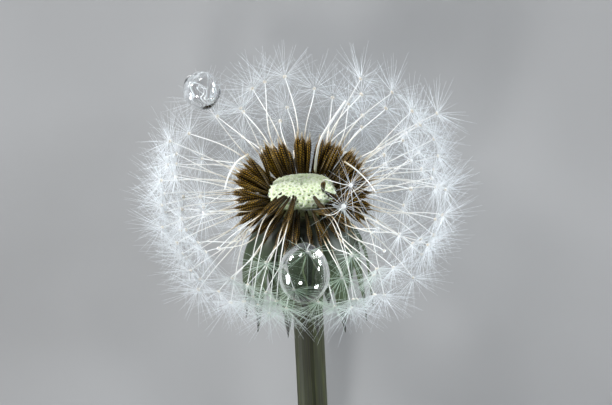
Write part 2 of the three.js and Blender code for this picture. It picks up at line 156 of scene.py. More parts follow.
ACHENE_LENGTH = 5.2  # with its cone
ACHENE_BURIED = 0.35
ACHENE_WIDTH = 0.70
ACHENE_FLATNESS = 0.66
ACHENE_NEAR_THINNER = 0.16  # share of the width that the near ones lack
ACHENE_BOW = 0.3
ACHENE_RIBS = 6
ACHENE_ROWS = 36  # of points, every other one on a bead
ACHENE_PAINTED_SHADE_AND_TONE = (0.12, 0.5, 0.3)  # darkening: the least, which all have, the painted shade that the near side has more of, and random variation
BEAK_RADIUS = 0.063
BEAK_TAPER = (1.15, 0.85)
BEAK_BURIED = 0.25
BEAK_HANDLES = (0.36, 0.34)  # shares of its curve that follow the achene and the parachute
BEAK_SWAY = 0.4
THIN_BEAK = 0.7  # how thick a near stray's is, as a share
HUB_RADIUS = 0.26
HUB_HEIGHT = 0.8  # as a share of its radius

HAIRS = 42  # per parachute, an even number
HAIR_LENGTH = 4.75
HAIR_RADIUS = 0.026
HAIR_TAPER = 0.72
HAIR_TURN = 0.618034  # from one hair to the next, as a share of a whole turn
HAIRS_OPEN = 42  # degrees from the parachute's axis, the innermost
HAIRS_OPEN_MORE = 50  # degrees, the outermost
HAIRS_OPEN_VARIES = 12  # degrees
HAIR_CURL = 0.22
HAIR_ASIDE = 0.16
HAIR_PIECES = 2
WET_REACH = 8.0  # from the middle of the lower drop
WET_PAINTED_GREEN = 0.85

# What a parachute's axis follows: its beak from a bend past the achene's tip, the way out from the middle
# of the head, a random tilt and, on the near side, the way down
PARACHUTE_BEND = 3.2
PARACHUTE_ON = 0.6
PARACHUTE_OUT = 0.4
PARACHUTE_TILT = 0.4
PARACHUTE_DROOP = 0.9

# How wide a body's strip of its piece's map is, and how many strips the achenes and the bracts share
STRIP = 0.1
HAIR_STRIP = 0.04
VARIANTS = 8

RECEPTACLE_TOP = 0.95
RECEPTACLE_BASE = -2.45
# Radii and heights, from the middle of the top, over the dome's edge, to the base
RECEPTACLE_PROFILE = [
    [0.0, RECEPTACLE_TOP], [1.4, 0.92], [2.5, 0.84], [3.3, 0.67], [3.8, 0.44], [4.12, 0.12],
    [4.25, -0.22], [4.2, -0.6], [3.95, -1.0], [3.5, -1.45], [3.2, -1.9], [3.05, RECEPTACLE_BASE],
]
RECEPTACLE_RINGS = 110
FIRST_RING = 0.04  # from the middle
SQUARENESS = 0.035
FLANK_PAINTED_SHADE_TOP = -0.3  # where the painted shade on the flank starts
FLANK_PAINTED_SHADE_FADE = 0.7
PITS = 105
PITS_REACH = 1.06  # times the way from the middle to the edge
PIT_RADIUS = 0.19
PIT_DEPTH = 0.18
PIT_RIM_RADIUS = 0.33
PIT_RIM_WIDTH = 0.10
PIT_RIM_HEIGHT = 0.10
MIDDLE_DEPTH = 0.17  # of a pit in the very middle
RAGGED = (0.02, 0.12)  # the height of swellings on the dome, and how much more it is at the edge
RAGGED_WAVES = ((17, 5.0), (29, 8.0), (47, 11.0))  # each with its frequencies round and down the dome
GRAINS = (0.05, 0.06)
EDGE_WIDTH = 0.7

# Bracts: how many, how wide, and their midribs' distances from the head's axis and heights
INNER_BRACTS = {"count": 13, "width": 3.0, "out": [3.0, 5.7, 7.4, 7.9], "up": [-3.5, -4.8, -9.0, -16.4]}
OUTER_BRACTS = {"count": 11, "width": 2.7, "out": [2.6, 4.8, 5.8, 5.5], "up": [-4.9, -6.2, -9.4, -13.6]}
BRACT_SPREAD = 0.14
BRACT_TURN_VARIES = 0.35  # of the angle between two
BRACT_THICKNESS = 0.17
BRACT_KEEL = 0.20  # of half the width, like the waves
BRACT_WAVE = 0.10
BRACT_WAVES = 9
BRACT_VEIN = 0.025
BRACT_VEINS = 9

STEM_RADIUS = 1.85
STEM_WALL = 0.7
STEM_LENGTH = 50.0
STEM_OVERLAP = 0.25  # with the receptacle
STEM_HANDLES = (0.3, 0.33)  # shares of its length that follow its two ends
STEM_RIB = 0.012  # of its radius
STEM_RIBS = 24
FLARE_RADIUS = 3.1
FLARE_LENGTH = 3.6
STEM_END_TILT = radians(9)
HOLLOW_RINGS = 70  # of points, from the cut upwards
LIP_LENGTH = 0.1  # of the cut wall
LIP_OVER_FLOOR = 0.05

FLOOR_SOFTENING = 1.6
LOWEST = 0.03  # how far over the floor the lowest hairs lie

# The photograph: its size and the middle of the head in pixels, and how it was taken
PHOTO = (612, 405)
HEAD_PIXEL = (302, 190)
PIXEL = 0.1228  # millimetres at the head
VIEW_LIFT = radians(25)  # of the camera over the plane square to the head's axis
VIEW_ROLL = radians(2.8)
VIEW_DISTANCE = 380.0
SENSOR = 36.0

BLACK = (0.0, 0.0, 0.0)
WHITE = (1.0, 1.0, 1.0)

# Lights: place from the middle of the head and size, both in metres, watts, and colour
LIGHTS = {
    "key": ([-0.67, 0.65, 0.16], 0.24, 9.8, WHITE),
    "rim": ([0.85, 0.25, 0.12], 0.24, 8.4, (0.90, 0.95, 1.0)),
    "low_left": ([-0.80, -0.33, 0.10], 0.30, 4.5, (0.95, 0.97, 1.0)),
    "low_right": ([0.60, -0.75, 0.12], 0.24, 4.0, (0.95, 0.97, 1.0)),
    "front": ([-0.33, -0.62, 0.58], 0.22, 2.9, WHITE),
    "side": ([0.85, 0.05, 0.34], 0.15, 1.3, WHITE),
    "facing": ([-0.20, 0.80, 0.42], 0.20, 1.5, WHITE),
}
SKY = (0.80, 0.86, 0.95)
SKY_STRENGTH = 0.06
FLOOR_HALF = 3.0  # half its side, in metres

# ---- The head's axes ----

AXIS = np.array([0.0, cos(HEAD_TILT), sin(HEAD_TILT)])
NEAR = np.array([0.0, -sin(HEAD_TILT), cos(HEAD_TILT)])
TO_FRAME = np.column_stack([[1.0, 0.0, 0.0], -NEAR, AXIS])  # from the head's axes to the frame's
UP = TO_FRAME.T @ np.array([0.0, 0.0, 1.0])  # straight up, in the head's axes
TOWARD = np.array([0.0, -cos(VIEW_LIFT), sin(VIEW_LIFT)])  # the camera, likewise


def middle_of(node):
    low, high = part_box(node)
    return (np.array(low) + np.array(high)) / 2 / MM


CENTRE = middle_of("water_drop_lower") - TO_FRAME @ LOWER_DROP_AT


def in_frame(points):
    """Points of the head, in the frame's axes and in metres."""
    return (points @ TO_FRAME.T + CENTRE) * MM


def over_floor(points):
    """Points of the head, moved up where a soft hair that reaches for them would meet the floor."""
    height = points @ UP + CENTRE[2] - LOWEST
    lifted = FLOOR_SOFTENING * np.exp(np.minimum(height, FLOOR_SOFTENING) / FLOOR_SOFTENING - 1)
    lift = np.where(height < FLOOR_SOFTENING, lifted - height, 0.0)
    return points + lift[..., None] * UP


def noise(k, salt):
    """A number from 0 to 1 that depends only on k and salt."""
    value = np.sin(np.asarray(k) * 12.9898 + (np.asarray(salt) + SEED) * 78.233) * 43758.5453
    return value - np.floor(value)


def phase(k, salt):
    """A wave's phase, from 0 to about a whole turn."""
    return 6.3 * noise(k, salt)


# ---- Directions and curves ----


def unit(vectors):
    return vectors / np.linalg.norm(vectors, axis=-1, keepdims=True)


def round_angles(sides):
    """Even angles round a circle."""
    return 2 * pi * np.arange(sides) / sides


def round_axis(radius, height, turn):
    """Points at a radius and a height, and at a turn round the head's axis from the near side."""
    return np.stack([radius * np.sin(turn), -radius * np.cos(turn), height + 0 * turn], axis=-1)


def direction(from_axis, turn):
    """The direction at an angle from the head's axis, and round it from the near side."""
    return round_axis(np.sin(from_axis), np.cos(from_axis), turn)


def across(axes):
    """Two directions square to each other and to each of axes."""
    start = np.where(np.abs(axes[..., 2:]) < 0.9, [0.0, 0.0, 1.0], [1.0, 0.0, 0.0])
    u = unit(np.cross(start, axes))
    return u, np.cross(axes, u)


def turned(u, v, angle):
    """The directions at angles from u towards v, which is square to it."""
    return np.cos(angle)[..., None] * u + np.sin(angle)[..., None] * v


def circles(u, v, sides):
    """Directions at even angles round a circle, from each u towards its v."""
    return turned(u[..., None, :], v[..., None, :], round_angles(sides))


def bezier(a, b, c, d, steps):
    """Points along cubic curves, each from its a to its d."""
    s = np.linspace(0, 1, steps)[None, :, None]
    a, b, c, d = (p[:, None] for p in (a, b, c, d))
    return a * (1 - s) ** 3 + 3 * b * s * (1 - s) ** 2 + 3 * c * s * s * (1 - s) + d * s ** 3


def curve_through(points, steps):
    """A smooth curve through points, at even shares."""
    points = np.asarray(points, dtype=float)
    padded = np.vstack([2 * points[0] - points[1], points, 2 * points[-1] - points[-2]])
    s = np.linspace(0, len(points) - 1 - 1e-9, steps)
    i = s.astype(int)
    t = (s - i)[:, None]
    a, b, c, d = (padded[i + n] for n in range(4))
    square, cube = 2 * a - 5 * b + 4 * c - d, 3 * b - a - 3 * c + d
    return 0.5 * (2 * b + (c - a) * t + square * t ** 2 + cube * t ** 3)


# ---- Meshes ----


def add_piece(name, points, faces, corners_uv, material, node):
    """A piece made of faces, which is a list of arrays of corners, with a UV for each corner."""
    counts = np.concatenate([np.full(len(f), f.shape[1]) for f in faces])
    corners = np.concatenate([f.ravel() for f in faces])
    mesh = bpy.data.meshes.new(name)
    mesh.vertices.add(len(points))
    mesh.vertices.foreach_set("co", np.ascontiguousarray(points, dtype=np.float32).ravel())
    mesh.loops.add(len(corners))
    mesh.loops.foreach_set("vertex_index", corners.astype(np.int32))
    mesh.polygons.add(len(counts))
    mesh.polygons.foreach_set("loop_start", np.concatenate([[0], np.cumsum(counts)[:-1]]).astype(np.int32))
    uv = np.concatenate([uvs.reshape(-1, 2) for uvs in corners_uv])
    layer = mesh.uv_layers.new(name="OFBake")
    layer.uv.foreach_set("vector", uv.astype(np.float32).ravel())
    mesh.update(calc_edges=True)
    mesh.validate()
    mesh.shade_smooth()
    mesh.materials.append(material)
    piece = bpy.data.objects.new(name, mesh)
    bpy.context.collection.objects.link(piece)
    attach(piece, "root")
    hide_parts(node)
    return piece


def set_values(piece, name, values):
    """A named number for each point, for the piece's material."""
    layer = piece.data.attributes.new(name, "FLOAT", "POINT")
    layer.data.foreach_set("value", np.asarray(values, dtype=np.float32))


def skins(rings, ends, shift=None, wrap=1.0, along=None):
    """Closed bodies through rings of points.

    rings is (bodies, rings, points round, 3), and ends (bodies, 2, 3) the middles of the two ends.
    u runs from a body's shift over wrap, and v follows along, which is from 0 to 1 for each ring.
    """
    bodies, count, sides = rings.shape[:3]
    size = count * sides + 2
    points = np.concatenate([rings.reshape(bodies, -1, 3), ends], axis=1).reshape(-1, 3)
    shift = np.zeros(bodies) if shift is None else shift
    along = np.linspace(0, 1, count) if along is None else along
    side = np.arange(sides)
    after = (side + 1) % sides
    step = np.arange(count - 1)[:, None] * sides
    quads = np.stack([step + side, step + after, step + sides + after, step + sides + side], axis=-1)
    last = (count - 1) * sides
    start_fan = np.stack([np.full(sides, size - 2), after, side], axis=-1)
    end_fan = np.stack([np.full(sides, size - 1), last + side, last + after], axis=-1)
    offset = (np.arange(bodies) * size)[:, None, None]
    faces = [
        (quads.reshape(1, -1, 4) + offset).reshape(-1, 4),
        (np.concatenate([start_fan, end_fan])[None] + offset).reshape(-1, 3),
    ]
    left = wrap * side / sides
    right = wrap * (side + 1) / sides
    row = np.broadcast_to(np.stack([left, right, right, left], axis=-1), (count - 1, sides, 4))
    low, high = along[:-1, None, None], along[1:, None, None]
    rise = np.concatenate([low, low, high, high], axis=2) * np.ones((1, sides, 1))
    quad_uv = np.stack([row, rise], axis=-1).reshape(1, -1, 4, 2)
    fan_u = np.concatenate([np.stack([left, right, left], -1), np.stack([left, left, right], -1)])
    fan_v = np.concatenate([np.full((sides, 3), along[0]), np.full((sides, 3), along[-1])])
    fan_uv = np.stack([fan_u, fan_v], axis=-1)[None]
    move = np.stack([shift, np.zeros(bodies)], axis=-1)[:, None, None, :]
    return points, faces, [quad_uv + move, fan_uv + move]


def tubes(paths, radii, sides):
    """Rings and ends for round bodies along paths (bodies, points, 3), with a radius for each point."""
    tangents = unit(np.gradient(paths, axis=1))
    start = across(tangents[:, len(tangents[0]) // 2])[0]
    start = np.broadcast_to(start[:, None], paths.shape)
    u = unit(start - (start * tangents).sum(-1, keepdims=True) * tangents)
    rings = paths[:, :, None] + radii[..., None, None] * circles(u, np.cross(tangents, u), sides)
    return rings, paths[:, [0, -1]]


def map_strips(k, salt):
    """Where each body's strip of the map starts, for bodies that share a few strips."""
    return np.floor(noise(k, salt) * VARIANTS) / VARIANTS


# ---- Materials ----


def new_material(name, **numbers):
    """A material with plain numbers on its shader's sockets. Returns it with its nodes and shader."""
    material = bpy.data.materials.new(name)
    material.use_nodes = True
    shader = material.node_tree.nodes["Principled BSDF"]
    for socket, value in numbers.items():
        shader.inputs[socket.replace("_", " ")].default_value = value
    return material, material.node_tree, shader


def add_node(tree, kind, links, **settings):
    """A node with its settings, and its inputs linked or set from links. A socket's id_data is its tree."""
    made = tree.nodes.new("ShaderNode" + kind)
    for key, value in settings.items():
        setattr(made, key, value)
    for key, value in links.items():
        if isinstance(value, bpy.types.NodeSocket):
            tree.links.new(value, made.inputs[key])
        else:
            made.inputs[key].default_value = value
    return made


def with_alpha(colour):
    """A plain colour with its alpha, or a socket as it is."""
    return (*colour, 1.0) if isinstance(colour, tuple) else colour


def computed(operation, *values):
    """The outcome of an operation on values, of which the first is a socket."""
    return add_node(values[0].id_data, "Math", dict(enumerate(values)), operation=operation).outputs[0]


def value_of(tree, name):
    """The number that set_values gave each point of the piece."""
    return add_node(tree, "Attribute", {}, attribute_name=name).outputs["Fac"]


def ramp(value, stops):
    """A colour ramp over value, from stops of (place, colour)."""
    made = add_node(value.id_data, "ValToRGB", {"Fac": value})
    elements = made.color_ramp.elements
    while len(elements) < len(stops):
        elements.new(0.5)
    for element, (place, colour) in zip(elements, stops):
        element.position = place
        element.color = (*colour, 1.0)
    return made.outputs["Color"]


def between(value, low, high, most=WHITE):
    """Black below low and most over high."""
    return ramp(value, [(low, BLACK), (high, most)])


def uv_parts(tree):
    """u and v of the piece's own map, and the map itself."""
    uv = add_node(tree, "UVMap", {}, uv_map="OFBake").outputs["UV"]
    parts = add_node(tree, "SeparateXYZ", {"Vector": uv})
    return parts.outputs["X"], parts.outputs["Y"], uv


def object_place(tree):
    return add_node(tree, "TexCoord", {}).outputs["Object"]


def cloudy(place, scale, detail):
    """Smooth noise over place."""
    links = {"Vector": place, "Scale": scale, "Detail": detail}
    return add_node(place.id_data, "TexNoise", links).outputs["Fac"]


def streaky(uv, times_u, times_v, detail):
    """Noise that varies so much faster over u and over v."""
    mapping = add_node(uv.id_data, "Mapping", {"Vector": uv, "Scale": (times_u, times_v, 1.0)})
    return cloudy(mapping.outputs["Vector"], 1.0, detail)


def mixed(factor, one, other, blend="MIX"):
    """The colour of a socket, one, with another colour mixed into it."""
    links = {0: factor, 6: one, 7: with_alpha(other)}
    return add_node(one.id_data, "Mix", links, data_type="RGBA", blend_type=blend).outputs[2]


def wave(value, times, low, high):
    """A cosine of value with so many turns, brought to between low and high."""
    cosine = computed("COSINE", computed("MULTIPLY", value, 2 * pi * times))
    limits = {"Value": cosine, "From Min": -1.0, "To Min": low, "To Max": high}
    return add_node(value.id_data, "MapRange", limits).outputs[0]


def coloured(shader, colour):
    shader.id_data.links.new(colour, shader.inputs["Base Color"])


def bumped(shader, height, strength, distance):
    bump = add_node(shader.id_data, "Bump", {"Height": height, "Strength": strength, "Distance": distance})
    shader.id_data.links.new(bump.outputs["Normal"], shader.inputs["Normal"])


def hair_material():
    """Silver-white hairs, whitest at the root, no two quite alike, and where they are wet, painted green for
    the bracts that show through them.
    """
    material, tree, shader = new_material(
        "hair", Roughness=0.35, Specular_IOR_Level=0.7, Sheen_Weight=0.6, Sheen_Roughness=0.3
    )
    u, v, _ = uv_parts(tree)
    along = ramp(v, [(0.0, WHITE), (0.25, (0.96, 0.98, 0.99)), (1.0, (0.87, 0.91, 0.94))])
    spread = computed("MULTIPLY", u, 40.0)
    odd = add_node(tree, "TexWhiteNoise", {"W": spread}, noise_dimensions="1D").outputs["Value"]
    tint = ramp(odd, [(0.0, (0.80, 0.86, 0.90)), (1.0, WHITE)])
    dry = mixed(1.0, along, tint, "MULTIPLY")
    # Wet hairs near the lower drop take a painted green, which stands in for the bracts seen through them.
    coloured(shader, mixed(value_of(tree, "wet"), dry, (0.36, 0.54, 0.36)))
    return material


def beak_material():
    """Cream beaks, brownish where they leave the achene."""
    material, tree, shader = new_material("beak", Roughness=0.4)
    _, v, _ = uv_parts(tree)
    coloured(shader, ramp(v, [
        (0.0, (0.50, 0.38, 0.20)), (0.12, (0.88, 0.85, 0.76)), (0.5, (0.94, 0.94, 0.91)),
        (1.0, (0.95, 0.97, 0.97)),
    ]))
    return material


def hub_material():
    """White knobs, cream underneath, some of them brown there."""
    material, tree, shader = new_material("hub", Roughness=0.35)
    u, v, _ = uv_parts(tree)
    spread = computed("MULTIPLY", u, 30.0)
    odd = add_node(tree, "TexNoise", {"W": spread}, noise_dimensions="1D").outputs["Fac"]
    under = ramp(odd, [(0.48, (0.95, 0.93, 0.87)), (0.70, (0.50, 0.38, 0.22))])
    coloured(shader, mixed(between(v, 0.45, 0.6), under, (0.97, 0.98, 0.98)))
    return material


def achene_material():
    """Golden-brown beads on the ribs, partly a painted highlight, near black painted shade between them, and
    a pale cone. Painted shade darkens the near ones, and some others are darker at random.
    """
    material, tree, shader = new_material("achene", Roughness=0.38, Specular_IOR_Level=0.18)
    u, v, uv = uv_parts(tree)
    body = ramp(v, [
        (0.0, (0.13, 0.088, 0.006)), (0.3, (0.36, 0.230, 0.018)), (0.62, (0.80, 0.490, 0.042)),
        (0.82, (0.74, 0.430, 0.040)), (0.89, (0.60, 0.50, 0.32)), (0.94, (0.90, 0.86, 0.74)),
        (1.0, (0.95, 0.94, 0.88)),
    ])
    dark = ramp(v, [
        (0.0, (0.012, 0.007, 0.003)), (0.8, (0.010, 0.006, 0.002)), (0.87, (0.16, 0.11, 0.05)),
        (0.93, (0.68, 0.60, 0.44)), (1.0, (0.86, 0.82, 0.70)),
    ])
    spots = streaky(uv, 40.0, 9.0, 3.0)
    # The ribs' beads are golden, partly with a painted highlight, and the grooves between them are near
    # black with painted shade.
    ribs = wave(u, VARIANTS * ACHENE_RIBS, 0.0, 1.0)
    from_rib_to_rib = computed("MULTIPLY", u, 0.5 * VARIANTS * ACHENE_RIBS)
    staggered = computed("MULTIPLY_ADD", v, (ACHENE_ROWS - 1) / 2, from_rib_to_rib)
    uneven = computed("MULTIPLY_ADD", spots, 1.2, staggered)
    beads = computed("MULTIPLY", ribs, wave(uneven, 1, 0.2, 1.0))
    painted_bead_highlight = computed("POWER", beads, 2.0)
    # shade darkens the near achenes with painted shade, and all of them a little at random.
    shaded = mixed(value_of(tree, "shade"), mixed(painted_bead_highlight, dark, body), (0.016, 0.012, 0.006))
    mottle = ramp(spots, [(0.3, (0.50, 0.47, 0.42)), (0.7, (1.35, 1.3, 1.2))])
    coloured(shader, mixed(1.0, shaded, mottle, "MULTIPLY"))
    return material


def receptacle_material():
    """Pale cream-green cushion, with a dark dot in each pit and a white rim round it, and dark olive painted
    shade over its flank.
    """
    material, tree, shader = new_material(
        "receptacle", Roughness=0.62, Subsurface_Weight=0.25, Subsurface_Radius=(0.6, 0.7, 0.35),
        Subsurface_Scale=MM,
    )
    place = object_place(tree)
    flesh = ramp(cloudy(place, 900.0, 4.0), [
        (0.3, (0.62, 0.76, 0.42)), (0.55, (0.82, 0.94, 0.62)), (0.75, (0.93, 1.0, 0.80)),
    ])
    cells = add_node(tree, "TexVoronoi", {"Vector": place, "Scale": 3600.0}, feature="SMOOTH_F1")
    grain = cells.outputs["Distance"]
    grainy = mixed(between(grain, 0.45, 0.85), flesh, (0.50, 0.60, 0.30))
    # The flank below the dome's edge gets painted shade, a dark olive, through the side value.
    flank = mixed(value_of(tree, "side"), grainy, (0.10, 0.11, 0.04))
    rim = between(value_of(tree, "rim"), 0.4, 1.0, (0.8, 0.8, 0.8))
    rimmed = mixed(rim, flank, (0.95, 1.0, 0.86))
    dot = between(value_of(tree, "pit"), 0.45, 0.8)
    coloured(shader, mixed(dot, rimmed, (0.09, 0.085, 0.03)))
    bumped(shader, grain, 1.0, 0.18 * MM)
    return material


def leaf_material():
    """Dark olive-green bracts with long fine veins, paler at the edge and dark at the tip, and near black at
    the base with painted shade.
    """
    material, tree, shader = new_material(
        "leaf", Roughness=0.5, Subsurface_Weight=0.1, Subsurface_Radius=(0.2, 0.5, 0.1), Subsurface_Scale=MM
    )
    u, v, uv = uv_parts(tree)
    # Near black at the base is painted shade under the achenes; the green middle and the dark tip are the
    # bracts' own colours.
    body = ramp(v, [
        (0.0, (0.008, 0.010, 0.004)), (0.25, (0.010, 0.014, 0.005)), (0.5, (0.026, 0.048, 0.017)),
        (0.8, (0.040, 0.068, 0.024)), (0.93, (0.022, 0.020, 0.014)), (1.0, (0.012, 0.008, 0.011)),
    ])
    streak = streaky(uv, 60.0 * VARIANTS, 2.0, 3.0)
    veins = ramp(streak, [(0.35, (0.62, 0.66, 0.55)), (0.65, (1.25, 1.2, 1.1))])
    edge = between(wave(u, 2 * VARIANTS, 0.0, 1.0), 0.80, 1.0, (0.7, 0.7, 0.7))
    coloured(shader, mixed(edge, mixed(1.0, body, veins, "MULTIPLY"), (0.13, 0.19, 0.06)))
    bumped(shader, streak, 0.4, 0.06 * MM)
    return material


def stem_material():
    """Dark olive stalk, streaked along its length, with a pale green wall at the cut."""
    material, tree, shader = new_material(
        "stem", Roughness=0.55, Specular_IOR_Level=0.3, Subsurface_Weight=0.1,
        Subsurface_Radius=(0.3, 0.6, 0.15), Subsurface_Scale=MM,
    )
    uv = uv_parts(tree)[2]
    streak = streaky(uv, 70.0, 5.0, 4.0)
    skin = ramp(streak, [
        (0.3, (0.014, 0.017, 0.007)), (0.55, (0.028, 0.034, 0.012)), (0.75, (0.07, 0.08, 0.027)),
    ])
    patchy = ramp(cloudy(uv, 9.0, 2.0), [(0.35, (0.8, 0.72, 0.62)), (0.65, (1.1, 1.1, 1.0))])
    outside = mixed(1.0, skin, patchy, "MULTIPLY")
    coloured(shader, mixed(value_of(tree, "cut"), outside, (0.55, 0.62, 0.34)))
    bumped(shader, streak, 0.3, 0.08 * MM)
    return material


def water_material():
    """Clear water, with a coat that makes its highlights as strong as the photograph's."""
    material, tree, shader = new_material(
        "water", Roughness=0.0, IOR=1.333, Transmission_Weight=1.0, Coat_Weight=1.0, Coat_Roughness=0.0,
        Coat_IOR=1.6,
    )
    facing = add_node(tree, "LayerWeight", {"Blend": 0.4}).outputs["Facing"]
    coloured(shader, ramp(facing, [(0.0, WHITE), (1.0, (0.93, 0.97, 1.0))]))
    return material


def floor_material():
    """A pale grey floor, very slightly cloudy."""
    material, tree, shader = new_material("floor", Roughness=0.8)
    cloud = cloudy(object_place(tree), 40.0, 2.0)
    coloured(shader, ramp(cloud, [(0.4, (0.46, 0.465, 0.47)), (0.6, (0.48, 0.485, 0.49))]))
    return material


# ---- Where the fruits stand ----


def placed_by_hand():
    """The fruits of the lists above, one list after another."""
    found = []
    for fruits, hairs in ((STANDING_OUT, HAIRS), (THINNED, HAIRS // 2), (BALD, 0), (FRINGE, HAIRS)):
        for from_axis, turn, *distance in fruits:
            angles = radians(from_axis), radians(turn)
            found.append((BY_HAND + len(found), *angles, *(distance or [HUB_SPHERE]), hairs))
    return found


def placed_on_spiral(taken):
    """The fruits on the spiral and between, but for those on the bare side and those too near to taken."""
    found = []
    bare = direction(BARE_ANGLE, 0.0)
    top, low = cos(TOP_ANGLE), cos(LOW_ANGLE)
    for half in range(2 * PLACES):
        k = half / 2
        key = k if half % 2 == 0 else BETWEEN + k
        share = (k + 0.5) / PLACES
        from_axis = acos(top + (low - top) * share) + PLACE_VARIES * (noise(key, 1) - 0.5)
        turn = GOLDEN_ANGLE * k + TURN_VARIES * (noise(key, 2) - 0.5)
        way = direction(from_axis, turn)
        apart = NEAR_APART if abs(way @ TOWARD) > NEAR_APART_OVER else APART
        if way @ bare <= cos(BARE_RADIUS) and (taken @ way).max() <= cos(apart):
            distance = HUB_SPHERE + HUB_VARIES * (noise(key, 3) - 0.5)
            found.append((key, from_axis, turn, distance, HAIRS))
    return found


def placed_without_beak():
    """The achenes that stand between the others on the far side."""
    found = []
    for i in range(BROKEN):
        turn = pi + FAR_SIDE * ((i + 0.5) / BROKEN - 0.5)
        found.append((WITHOUT_BEAK + i, TOP_ANGLE + BROKEN_SPREAD * noise(i, 32), turn, HUB_SPHERE, NO_BEAK))
    return found


def fruit_places():
    """Each fruit's number, its angles from the axis and round it, how far out its hub is, and its hairs."""
    by_hand = placed_by_hand()
    taken = np.array([direction(from_axis, turn) for _, from_axis, turn, _, _ in by_hand])
    found = by_hand + placed_on_spiral(taken) + placed_without_beak()
    return [np.array(column) for column in zip(*found)]


def lean_angles():
    """How far each achene leans from the head's axis."""
    upright = UPRIGHT + UPRIGHT_SPREAD * (from_axis - TOP_ANGLE)
    hanging = np.where(stray, from_axis + STRAY_MORE, np.maximum(HANGING, from_axis + HANGING_MORE))
    angles = np.minimum(upright + nearness * (hanging - upright), LEAN_LIMIT)
    angles = np.where(on_edge, HANGING, angles) + LEAN_VARIES * (noise(number, 15) - 0.5)
    return angles + CLUMP_LEAN_VARIES * (1 - nearness) * (noise(clump % CLUMPS, 35) - 0.5)


def turns_gathered():
    """How far each achene has turned round the axis, towards the middle of its clump and at random."""
    middle = (clump + CLUMPS_UNEVEN * (noise(clump % CLUMPS, 34) - 0.5)) * 2 * pi / CLUMPS
    clumping = CLUMPING * (1 - CLUMPING_NEAR_LOSS * nearness) * (middle - turn) * (hair_count > NO_BEAK)
    return clumping + TURN_SCATTER * (1 - TURN_SCATTER_NEAR_LOSS * nearness) * (noise(number, 18) - 0.5)


def achene_roots():
    """Where each achene stands on the receptacle."""
    down = np.clip((lean_angle - UPRIGHT) / LOW_LEAN, 0, 1)
    top = ROOT_NEAR_TOP + (ROOT_TOP - ROOT_NEAR_TOP) * (1 - np.cos(turn)) / 2
    height = np.where(on_edge, EDGE_TOP, top + (ROOT_BOTTOM - top) * down * noise(number, 17))
    least, most = ROOT_RADIUS
    radius = least + (most - least) * noise(number, 16) + ROOT_NEAR_OUT * nearness
    roots = round_axis(np.where(on_edge, EDGE_RADIUS, radius), height, turn + ROOT_GATHERED * gathered)
    roots[pointing] = POINTING_ROOT
    return roots


def achene_leans():
    """The direction in which each achene points. The near strays turn to their hubs."""
    leans = direction(lean_angle, turn + gathered)
    to_hub = unit(leans + STRAY_TO_HUB * unit(hub - root))
    leans = np.where(near_stray[:, None], to_hub, leans)
    leans[pointing] = direction(POINTING_LEAN, 0.0)
    return leans


def parachute_axes():
    """The direction in which each parachute opens, on from its beak and outwards."""
    bend = over_floor(tip + PARACHUTE_BEND * lean)
    tilts = np.stack([noise(number, salt) - 0.5 for salt in (4, 5, 6)], axis=-1)
    droop = PARACHUTE_DROOP * nearness * ~stray
    on_and_out = PARACHUTE_ON * unit(hub - bend) + PARACHUTE_OUT * unit(hub)
    return unit(on_and_out + PARACHUTE_TILT * tilts - droop[:, None] * [0.0, 0.0, 1.0])


def loose_beak_paths():
    """The loose beaks' points. An achene that one of them grows on from loses its own beak."""
    paths = [np.array(points) for points in LOOSE_BEAKS]
    for path in paths:
        gaps = np.linalg.norm(tip - path[0], axis=1)
        if gaps.min() < FROM_ACHENE:
            hair_count[gaps.argmin()] = NO_BEAK
            path[0] = tip[gaps.argmin()]
    return paths


# Arrays with one entry for each fruit
number, from_axis, turn, hub_distance, hair_count = fruit_places()
nearness = (1 + np.cos(turn)) / 2  # 1 on the near side of the head and 0 on the far side
clump = np.round(turn * CLUMPS / (2 * pi))
stray = from_axis < STRAY_ANGLE
near_stray = stray & (nearness > NEAR_SIDE)
on_edge = (nearness > NEAR_SIDE) & ~stray & (noise(number, 36) < ON_EDGE)
pointing = number == BY_HAND + len(STANDING_OUT) + THINNED.index(POINTING)
lean_angle = lean_angles()
gathered = turns_gathered()
root = achene_roots()
hub = over_floor(direction(from_axis, turn) * hub_distance[:, None])
lean = achene_leans()
tip = root + lean * ACHENE_LENGTH
axis = parachute_axes()
loose_paths = loose_beak_paths()


# ---- Fruits ----


def make_beaks(material):
    """A thin beak from each achene, which it leaves smoothly, to its hub."""
    steps = 14
    these = np.flatnonzero(hair_count > NO_BEAK)
    start, leaving, end = tip[these], lean[these], hub[these]
    way = end - start
    arriving = unit(axis[these] + 2 * unit(way))
    reach = np.linalg.norm(way, axis=-1, keepdims=True)
    straight = np.clip((way * leaving).sum(-1, keepdims=True) / reach, 0.15, 1.0)
    after_start = start + BEAK_HANDLES[0] * reach * straight * leaving
    before_end = end - BEAK_HANDLES[1] * reach * straight * arriving
    paths = bezier(start - BEAK_BURIED * leaving, after_start, before_end, end, steps)
    sway = BEAK_SWAY * np.sin(np.linspace(0, pi, steps))[None, :, None]
    u, v = across(leaving)
    key = number[these]
    side = (noise(key, 8) - 0.5)[:, None] * u + (noise(key, 9) - 0.5)[:, None] * v
    paths = over_floor(paths + sway * side[:, None])
    thinner = np.where(near_stray[these], THIN_BEAK, 1.0)
    radii = BEAK_RADIUS * np.outer(thinner, np.linspace(*BEAK_TAPER, steps))
    rings, ends = tubes(paths, radii, sides=6)
    points, faces, uv = skins(rings, ends, shift=(1 - STRIP) * noise(key, 7), wrap=STRIP)
    add_piece("beaks", in_frame(points), faces, uv, material, "pappus")


def make_loose_beaks(material):
    """Beaks that have come away from their parachutes."""
    steps = 20
    paths = np.array([curve_through(points, steps) for points in loose_paths])
    radii = np.outer(LOOSE_BEAK_RADII, np.linspace(*LOOSE_BEAK_TAPER, steps))
    rings, ends = tubes(paths, radii, sides=8)
    points, faces, uv = skins(rings, ends, shift=0.3 * np.arange(len(paths)), wrap=STRIP)
    add_piece("loose_beaks", in_frame(points), faces, uv, material, "pappus")


